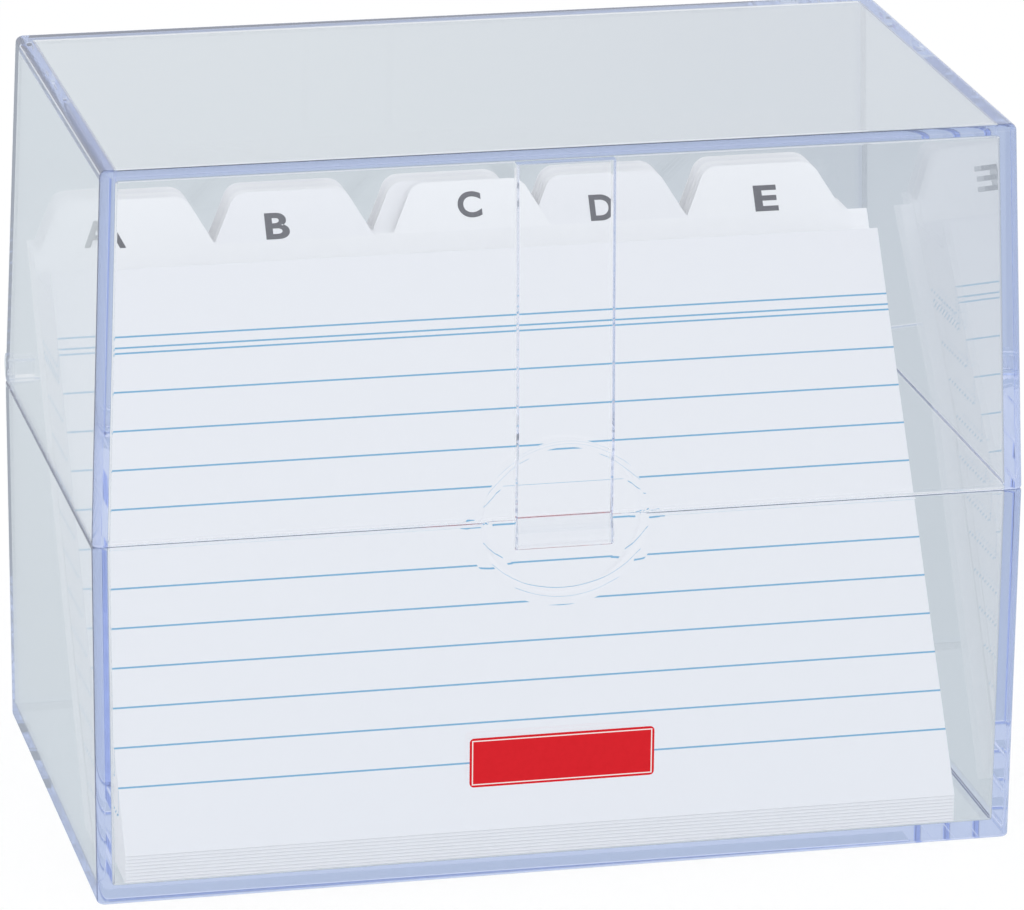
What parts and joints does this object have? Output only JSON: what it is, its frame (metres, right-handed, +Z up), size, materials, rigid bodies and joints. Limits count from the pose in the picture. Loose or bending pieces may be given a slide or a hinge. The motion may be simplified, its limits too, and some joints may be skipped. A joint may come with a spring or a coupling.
{
  "type": "index card drawer",
  "caption": "Clear hinged box for index cards, with a front snap tongue in a round thumb recess and lettered tab dividers leaning back.",
  "frame": {"origin": "middle of the flat bottom of the base shell, which the box rests on, halfway between the front and back walls at the seam", "axes": "+X to the right across the width of the box, +Y from the front to the hinges, +Z up"},
  "size_m": [0.1634, 0.1043, 0.1298],
  "materials": {
    "clear_polystyrene": "clear, polished injection moulding",
    "ruled_card_stock": "smooth white card",
    "divider_board": "smooth white board",
    "label_paper": "printed red sticker, satin"
  },
  "bodies": {
    "base": {"base_tray": "clear_polystyrene", "front_label": "label_paper"},
    "lid": {"lid": "clear_polystyrene"},
    "latch": {"latch_tongue": "clear_polystyrene"},
    "card_pack": {"ruled_card_02": "ruled_card_stock", "ruled_card_03": "ruled_card_stock", "ruled_card_04": "ruled_card_stock", "ruled_card_05": "ruled_card_stock", "ruled_card_06": "ruled_card_stock", "ruled_card_07": "ruled_card_stock", "ruled_card_08": "ruled_card_stock", "ruled_card_09": "ruled_card_stock", "ruled_card_10": "ruled_card_stock", "ruled_card_bundle_01": "ruled_card_stock", "ruled_card_bundle_02": "ruled_card_stock", "ruled_card_bundle_03": "ruled_card_stock", "ruled_card_bundle_04": "ruled_card_stock", "ruled_card_bundle_05": "ruled_card_stock", "ruled_card_bundle_06": "ruled_card_stock", "ruled_card_bundle_07": "ruled_card_stock", "ruled_card_bundle_08": "ruled_card_stock", "ruled_card_bundle_09": "ruled_card_stock", "ruled_card_bundle_10": "ruled_card_stock"},
    "front_card": {"ruled_card_01": "ruled_card_stock"},
    "dividers_a_e": {"divider_a": "divider_board", "divider_b": "divider_board", "divider_c": "divider_board", "divider_d": "divider_board", "divider_e": "divider_board"},
    "dividers_f_j": {"divider_f": "divider_board", "divider_g": "divider_board", "divider_h": "divider_board", "divider_i": "divider_board", "divider_j": "divider_board"},
    "dividers_k_o": {"divider_k": "divider_board", "divider_l": "divider_board", "divider_m": "divider_board", "divider_n": "divider_board", "divider_o": "divider_board"},
    "dividers_p_t": {"divider_p": "divider_board", "divider_q": "divider_board", "divider_r": "divider_board", "divider_s": "divider_board", "divider_t": "divider_board"},
    "dividers_u_z": {"divider_u": "divider_board", "divider_v": "divider_board", "divider_w": "divider_board", "divider_xy": "divider_board", "divider_z": "divider_board"}
  },
  "joints": [
    {"name": "lid_hinge", "type": "hinge", "parent": "base", "child": "lid", "pos_m": [0, 0.052, 0.0658], "axis": [-1, 0, 0], "range_deg": [0, 180]},
    {"name": "latch_flex", "type": "hinge", "parent": "lid", "child": "latch", "pos_m": [0, -0.04669, 0.12735], "axis": [-1, 0, 0], "range_deg": [0, 1.5], "stiffness_Nm_per_rad": 2},
    {"name": "cards_tilt", "type": "hinge", "parent": "base", "child": "card_pack", "pos_m": [0, -0.04579, 0.008], "axis": [1, 0, 0], "range_deg": [0, 20]},
    {"name": "front_card_lift", "type": "slide", "parent": "card_pack", "child": "front_card", "axis": [0, 0.5527, 0.8334], "range_m": [0, 0.015]},
    {"name": "dividers_a_e_tilt", "type": "hinge", "parent": "base", "child": "dividers_a_e", "pos_m": [0, -0.02682, 0.00297], "axis": [1, 0, 0], "range_deg": [0, 17]},
    {"name": "dividers_f_j_tilt", "type": "hinge", "parent": "base", "child": "dividers_f_j", "pos_m": [0, -0.02515, 0.00297], "axis": [1, 0, 0], "range_deg": [0, 14]},
    {"name": "dividers_k_o_tilt", "type": "hinge", "parent": "base", "child": "dividers_k_o", "pos_m": [0, -0.02347, 0.00297], "axis": [1, 0, 0], "range_deg": [0, 11]},
    {"name": "dividers_p_t_tilt", "type": "hinge", "parent": "base", "child": "dividers_p_t", "pos_m": [0, -0.02179, 0.00297], "axis": [1, 0, 0], "range_deg": [0, 8]},
    {"name": "dividers_u_z_tilt", "type": "hinge", "parent": "base", "child": "dividers_u_z", "pos_m": [0, -0.02012, 0.00297], "axis": [1, 0, 0], "range_deg": [0, 5]}
  ],
  "couplings": [
    {"joint": "dividers_a_e_tilt", "follows": "cards_tilt", "ratio": 0.85},
    {"joint": "dividers_f_j_tilt", "follows": "cards_tilt", "ratio": 0.7},
    {"joint": "dividers_k_o_tilt", "follows": "cards_tilt", "ratio": 0.55},
    {"joint": "dividers_p_t_tilt", "follows": "cards_tilt", "ratio": 0.4},
    {"joint": "dividers_u_z_tilt", "follows": "cards_tilt", "ratio": 0.25}
  ]
}
